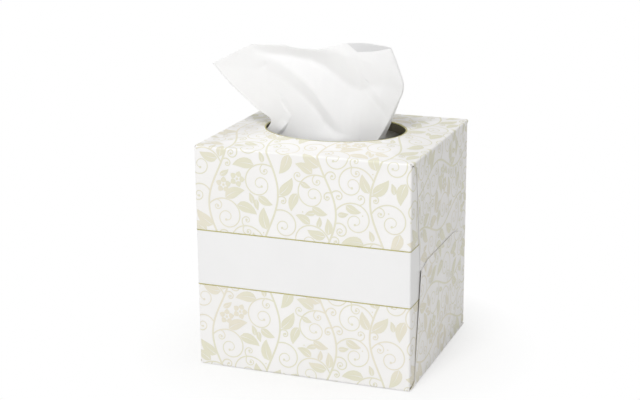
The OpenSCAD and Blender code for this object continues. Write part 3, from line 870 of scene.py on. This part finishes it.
# The folded board. The print is laid out in flat coordinates: u along X and on over the ends, v from the
# ground up the front, over the top and down the back, and h above the board's face. Functions named place
# fold such points (u, v, h) up into the model's frame. The top panel starts at TOP_V, the back at BACK_V.
FOLD_L = math.pi / 2 * FOLD_O
FOLD_STEPS = 5
TOP_Y = HALF_D - FOLD_O
TOP_Z = CARTON_H - FOLD_O
TOP_V = TOP_Z + FOLD_L
BACK_V = TOP_V + 2 * TOP_Y + FOLD_L
BACK_LO = 0.5  # lower end of the back's print
WIDE = 1000.0  # more than the board reaches
RAY_Z = 200.0  # height from which rays go down on the top panel

# Dust flaps: the folds to them start at FACE_X, they taper from DUST_SHOULDER on, and DUST_SEEN of their
# length is printed
DUST_X = HALF_W - BOARD_T - GLUE_T
FACE_X = DUST_X - FOLD_O
DUST_GAP = 1.0
DUST_L = 42.0
DUST_SHOULDER = DUST_L / 3
DUST_TAPER = 5.0
DUST_SEEN = 17.0

# Outer end flaps: each narrows by SHOULDER_IN within SHOULDER_H, then to FREE_IN, and its free edge is
# trimmed by TRIM_L over TRIM_H. The lower one leans out up to JOGGLE_Z, and lies over the upper one from
# there on. Its flat coordinates are about LOW_V, clear of the rest.
FLAP_LAP = 6.0
FLAP_H = (CARTON_H + FLAP_LAP) / 2 - FOLD_O
SHOULDER_H = 3.5
SHOULDER_IN = 8.0
FREE_IN = 16.5
TRIM_L = 11.0
TRIM_H = 2.6
TRIM_R = 1.0
FLAP_SHOWN = 1.0  # how far the upper flap's print goes on under the lower one
JOGGLE_CLEAR = 2.0
JOGGLE_Z = CARTON_H - FLAP_H - FOLD_O - JOGGLE_CLEAR
LOW_V = -250.0

# Band across the front, the line round the opening, and the corners
BAND_LO = 46.3
BAND_HI = 76.9
LINE_W = 0.55
RING_W = 0.8
RING_SIDES = 192
RING_ROWS = [  # each row's distance outside the opening's edge, and its height above the board's face
    (RING_W, 0.05), (RING_W / 2, 0.05), (0.03, 0.05), (-0.05, -0.1), (-0.05, -BOARD_T)]
RING_RAY = 0.06  # least distance from the edge at which the board's height is taken
CORNER_IN = 0.3
CORNER_DEPTH = 0.25


def edges(outline):
    """Pairs of neighbouring corners."""
    return zip(outline, np.roll(outline, -1, axis=0))


def side_of(points, a, b):
    """Above 0 for points on the left of the line from a to b."""
    return (b[0] - a[0]) * (points[..., 1] - a[1]) - (b[1] - a[1]) * (points[..., 0] - a[0])


def clip(polygon, outline):
    """The part of a convex polygon inside a convex outline that runs anticlockwise, which may be empty."""
    for a, b in edges(outline):
        side = side_of(polygon, a, b)
        if np.all(side >= 0):
            continue
        if np.all(side <= 0):
            return polygon[:0]
        out = []
        for k in range(len(polygon)):
            p, q, sp, sq = polygon[k - 1], polygon[k], side[k - 1], side[k]
            if (sp < 0) != (sq < 0):
                out.append(p + (q - p) * sp / (sp - sq))
            if sq >= 0:
                out.append(q)
        polygon = np.array(out)
    return polygon


def clip_all(polygons, outline):
    """What is left of polygons inside an outline."""
    return [p for p in (clip(polygon, outline) for polygon in polygons) if len(p) > 2]


def box(u0, u1, v0, v1):
    """A rectangle as an outline."""
    return np.array([(u0, v0), (u1, v0), (u1, v1), (u0, v1)])


def strips(u0, u1, v0, v1, along_u):
    """A box cut into narrow strips, for a fold."""
    f = np.linspace(0.0, 1.0, FOLD_STEPS + 1)
    if along_u:
        return [box(u0 + (u1 - u0) * a, u0 + (u1 - u0) * b, v0, v1) for a, b in zip(f, f[1:])]
    return [box(u0, u1, v0 + (v1 - v0) * a, v0 + (v1 - v0) * b) for a, b in zip(f, f[1:])]


def mirrored(outline):
    """An outline for the left side from one for the right side."""
    return (outline * (-1, 1))[::-1]


def on_back(outline):
    """An outline for the back from one for the same heights of the front."""
    return (outline * (1, -1) + (0, BACK_V + TOP_Z))[::-1]


def top_height(bvh, x, y):
    """Height of the carton's top at a place."""
    return bvh.ray_cast(Vector((x * MM, y * MM, RAY_Z * MM)), Vector((0, 0, -1)))[0].z / MM


def wall_place(back):
    """Folding for the front or back panel, its corner folds and the dust flaps beyond them."""
    def place(p):
        u, v, h = p.T
        s = np.abs(u) - FACE_X
        a = np.clip(s, 0.0, FOLD_L) / FOLD_O
        x = np.minimum(np.abs(u), FACE_X) + (FOLD_O + h) * np.sin(a)
        y = TOP_Y + (FOLD_O + h) * np.cos(a) - np.maximum(0.0, s - FOLD_L)
        z = TOP_Z - (v - BACK_V) if back else v
        return np.stack([np.where(u < 0, -x, x), y if back else -y, z], 1)
    return place


def wrap_place(bvh):
    """Folding for the front's bottom fold, and the top panel with its folds to all four sides."""
    def place(p):
        u, v, h = p.T
        low = np.clip(FOLD_O - v, 0.0, FOLD_L) / FOLD_O
        front = np.clip(TOP_V - v, 0.0, FOLD_L) / FOLD_O
        back = np.clip(v - TOP_V - 2 * TOP_Y, 0.0, FOLD_L) / FOLD_O
        end = np.clip(np.abs(u) - PANEL_X, 0.0, FOLD_L) / FOLD_O
        x = np.minimum(np.abs(u), PANEL_X) + (FOLD_O + h) * np.sin(end)
        x = np.where((front > 0) | (back > 0), np.abs(u), x)
        y = np.clip(v - TOP_V, 0.0, 2 * TOP_Y) - TOP_Y + (FOLD_O + h) * (np.sin(back) - np.sin(front))
        z = TOP_Z + (FOLD_O + h) * np.cos(np.maximum(np.maximum(front, back), end))
        for k in np.nonzero((front == 0) & (back == 0) & (end == 0))[0]:
            z[k] = top_height(bvh, x[k], y[k]) + h[k]
        bottom = v < TOP_Z / 2
        y = np.where(bottom, -TOP_Y - (FOLD_O + h) * np.cos(low), y)
        z = np.where(bottom, FOLD_O - (FOLD_O + h) * np.sin(low), z)
        return np.stack([np.where(u < 0, -x, x), y, z], 1)
    return place


def end_place(lower):
    """Folding for the upper end flaps, which are upright, or the lower ones, which lean out over them."""
    def place(p):
        u, v, h = p.T
        s = np.abs(u) - PANEL_X
        a = np.clip(s, 0.0, FOLD_L) / FOLD_O
        down = np.maximum(0.0, s - FOLD_L)
        x = PANEL_X + (FOLD_O + h) * np.sin(a)
        z = (FOLD_O + h) * np.cos(a) - down
        if lower:
            x = x + (BOARD_T + GLUE_T) * np.clip(down / (JOGGLE_Z - FOLD_O), 0.0, 1.0)
            return np.stack([np.where(u < 0, -x, x), v - LOW_V, FOLD_O - z], 1)
        return np.stack([np.where(u < 0, -x, x), v - TOP_V - TOP_Y, TOP_Z + z], 1)
    return place


def wall_outlines(lo, hi, back):
    """Outlines for a stretch of a wall between two heights."""
    s = FACE_X + FOLD_L
    z0, z1 = FOLD_O + DUST_GAP, CARTON_H - FOLD_O - DUST_GAP
    taper = DUST_TAPER * (DUST_SEEN - DUST_SHOULDER) / (DUST_L - DUST_SHOULDER)
    dust = np.array([(s, z0), (s + DUST_SHOULDER, z0), (s + DUST_SEEN, z0 + taper),
                     (s + DUST_SEEN, z1 - taper), (s + DUST_SHOULDER, z1), (s, z1)])
    right = [dust] + strips(FACE_X, s, z0, z1, along_u=True)
    panel = box(-FACE_X, FACE_X, BACK_LO if back else FOLD_O, TOP_Z)
    outlines = clip_all([panel] + right + [mirrored(o) for o in right], box(-WIDE, WIDE, lo, hi))
    return [on_back(o) for o in outlines] if back else outlines


def flap_outlines(mid_v, reach):
    """Outlines of the right end flap whose middle is at mid_v, with its fold, as far as reach beyond it."""
    s = PANEL_X + FOLD_L
    shoulder = (SHOULDER_H - FOLD_O, HALF_D - SHOULDER_IN)
    head = [(0.0, TOP_Y), shoulder]
    main = [shoulder, (FLAP_H - TRIM_H - TRIM_R, HALF_D - FREE_IN),
            (FLAP_H - TRIM_H, HALF_D - FREE_IN - TRIM_R), (FLAP_H, HALF_D - FREE_IN - TRIM_L)]
    parts = [np.array([(s + d, mid_v - y) for d, y in part] + [(s + d, mid_v + y) for d, y in part[::-1]])
             for part in (head, main)]
    joggle = JOGGLE_Z - FOLD_O
    out = strips(PANEL_X, s, mid_v - TOP_Y, mid_v + TOP_Y, along_u=True)
    for part in parts:
        for lo, hi in ((0.0, min(joggle, reach)), (joggle, min(FLAP_H, reach))):
            if lo < hi:
                out += clip_all([part], box(s + lo, s + hi, -WIDE, WIDE))
    return out


def tile_shifts(outline):
    """Shifts of all tiles that may touch an outline."""
    lo, hi = outline.min(0), outline.max(0)
    for i in range(math.floor(lo[0] / TILE_U) - 1, math.floor(hi[0] / TILE_U) + 2):
        base = i * TILE_V / 2
        for j in range(math.floor((lo[1] - base) / TILE_V) - 1, math.floor((hi[1] - base) / TILE_V) + 2):
            yield np.array([i * TILE_U, base + j * TILE_V, 0.0])


def tiled(tile, outline):
    """The tiles' polygons inside an outline."""
    most = max(len(p) for p in tile)
    padded = np.stack([np.concatenate([p, np.repeat(p[-1:], most - len(p), 0)]) for p in tile])
    out = []
    for shift in tile_shifts(outline):
        inside = np.ones(len(tile), bool)
        outside = np.zeros(len(tile), bool)
        for a, b in edges(outline):
            side = side_of(padded + shift, a, b)
            inside &= np.all(side >= 0, axis=1)
            outside |= np.all(side <= 0, axis=1)
        out += [tile[k] + shift for k in np.nonzero(inside)[0]]
        out += clip_all([tile[k] + shift for k in np.nonzero(~inside & ~outside)[0]], outline)
    return out


def outside_oval(polygons):
    """Polygons of the top panel without what the opening and its ring take."""
    axes = np.array([HOLE_W / 2 + RING_W, HOLE_D / 2 + RING_W])
    middle = np.array([0.0, TOP_V + TOP_Y])
    out = []
    for p in polygons:
        flat = p[:, :2] - middle
        if np.linalg.norm(flat / axes, axis=1).min() >= 1:
            out.append(p)
            continue
        edge = flat.mean(0) / np.linalg.norm(flat.mean(0) / axes)
        away = edge / axes ** 2
        away *= WIDE / np.linalg.norm(away)
        along = np.array([-away[1], away[0]])
        near = edge + middle
        far = near + away
        out += clip_all([p], np.array([near - along, far - along, far + along, near + along]))
    return out


def printed(tile, outlines, place):
    """The print in each outline, with the function that folds it into place."""
    return [(tiled(tile, o), place) for o in outlines]


def make_ink(name, parts, material):
    """One piece of print from (polygons, place) pairs."""
    points, faces = [], []
    count = 0
    for polygons, place in parts:
        for p in polygons:
            faces.append(range(count, count + len(p)))
            count += len(p)
        if polygons:
            points.append(place(np.concatenate(polygons)))
    make_mesh(name, np.concatenate(points), faces, material, smooth=False)


def print_walls(tile, wrap, ink):
    """The print of the front, which leaves the band free, and of the back."""
    for back in (False, True):
        stretches = [(0.0, CARTON_H)] if back else [(0.0, BAND_LO), (BAND_HI, CARTON_H)]
        outlines = [o for lo, hi in stretches for o in wall_outlines(lo, hi, back)]
        edge = TOP_V + 2 * TOP_Y if back else TOP_Z
        folds = strips(-FACE_X, FACE_X, edge, edge + FOLD_L, along_u=False)
        if not back:
            folds += strips(-FACE_X, FACE_X, FOLD_O - FOLD_L, FOLD_O, along_u=False)
        parts = printed(tile, outlines, wall_place(back)) + printed(tile, folds, wrap)
        make_ink("print_back" if back else "print_front", parts, ink)


def print_ends(tile, ink):
    """The print of the outer flaps of both ends."""
    upper = flap_outlines(TOP_V + TOP_Y, TOP_Z - (FLAP_H + FOLD_O) + FLAP_SHOWN)
    lower = flap_outlines(LOW_V, FLAP_H)
    for name, left in (("print_right_end", False), ("print_left_end", True)):
        parts = []
        for outlines, place in ((upper, end_place(False)), (lower, end_place(True))):
            parts += printed(tile, [mirrored(o) if left else o for o in outlines], place)
        make_ink(name, parts, ink)


def make_band(field, gold):
    """The bare band across the front and its dust flaps, with a line above and below it."""
    wall = wall_place(False)
    make_ink("band_field", [(at_height(wall_outlines(BAND_LO, BAND_HI, False), INK_T), wall)], field)
    lines = [o for z in (BAND_LO, BAND_HI) for o in wall_outlines(z - LINE_W / 2, z + LINE_W / 2, False)]
    make_ink("band_lines", [(at_height(lines, LINE_H), wall)], gold)


def make_ring(bvh, material):
    """Line round the opening, which also covers the cut edge of the board."""
    n = RING_SIDES
    a = np.arange(n) * 2 * math.pi / n
    rows = []
    for out, height in RING_ROWS:
        reach = max(out, RING_RAY)
        x, y = (HOLE_W / 2 + reach) * np.cos(a), (HOLE_D / 2 + reach) * np.sin(a)
        board = [top_height(bvh, *at) for at in zip(x, y)]
        x, y = (HOLE_W / 2 + out) * np.cos(a), (HOLE_D / 2 + out) * np.sin(a)
        rows.append(np.stack([x, y, np.array(board) + height], 1))
    faces = [(j * n + i, j * n + (i + 1) % n, (j + 1) * n + (i + 1) % n, (j + 1) * n + i)
             for j in range(len(rows) - 1) for i in range(n)]
    make_mesh("rim_line", np.concatenate(rows), faces, material)


def make_corners(material):
    """The crushed ends of the upright folds, which close the corners behind the folded edges."""
    s = FACE_X + FOLD_L
    parts = []
    for back in (False, True):
        outlines = []
        for z0, z1 in ((CORNER_IN, FOLD_O + DUST_GAP), (CARTON_H - FOLD_O - DUST_GAP, CARTON_H - CORNER_IN)):
            outlines += strips(FACE_X - FOLD_O, s + FOLD_O, z0, z1, along_u=True)
        outlines += [mirrored(o) for o in outlines]
        if back:
            outlines = [on_back(o) for o in outlines]
        parts.append((at_height(outlines, -CORNER_DEPTH), wall_place(back)))
    make_ink("corner_ends", parts, material)


def make_print(board):
    """All that is printed on the carton, and the corners behind it."""
    khaki = ink_material("print_khaki", PRINT_KHAKI, scale=28.0)
    olive = ink_material("line_olive", LINE_OLIVE, scale=300.0)
    white = ink_material("band_white", BAND_WHITE, scale=28.0)
    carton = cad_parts["carton"].data
    bvh = BVHTree.FromPolygons([v.co for v in carton.vertices], [p.vertices for p in carton.polygons])
    wrap = wrap_place(bvh)
    tile = make_tile()
    print_walls(tile, wrap, khaki)
    top = box(-PANEL_X, PANEL_X, TOP_V, TOP_V + 2 * TOP_Y)
    make_ink("print_top", [(outside_oval(tiled(tile, top)), wrap)], khaki)
    print_ends(tile, khaki)
    make_band(white, olive)
    make_ring(bvh, olive)
    make_corners(board)


def dress_nodes(board, glue, tissue):
    """Materials for the CAD nodes that stay."""
    finish = {"carton": board, "tissue_clip": tissue,
              "seam_glue": glue, "right_end_glue": glue, "left_end_glue": glue}
    for name, material in finish.items():
        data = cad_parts[name].data
        data.materials.clear()
        data.materials.append(material)


make_camera()
make_world()
make_floor()
make_lamps()
bpy.context.scene.view_settings.view_transform = "Standard"

board = board_material()
tissue = tissue_material()
dress_nodes(board, glue_material(), tissue)
make_raised_sheet(tissue)
make_print(board)
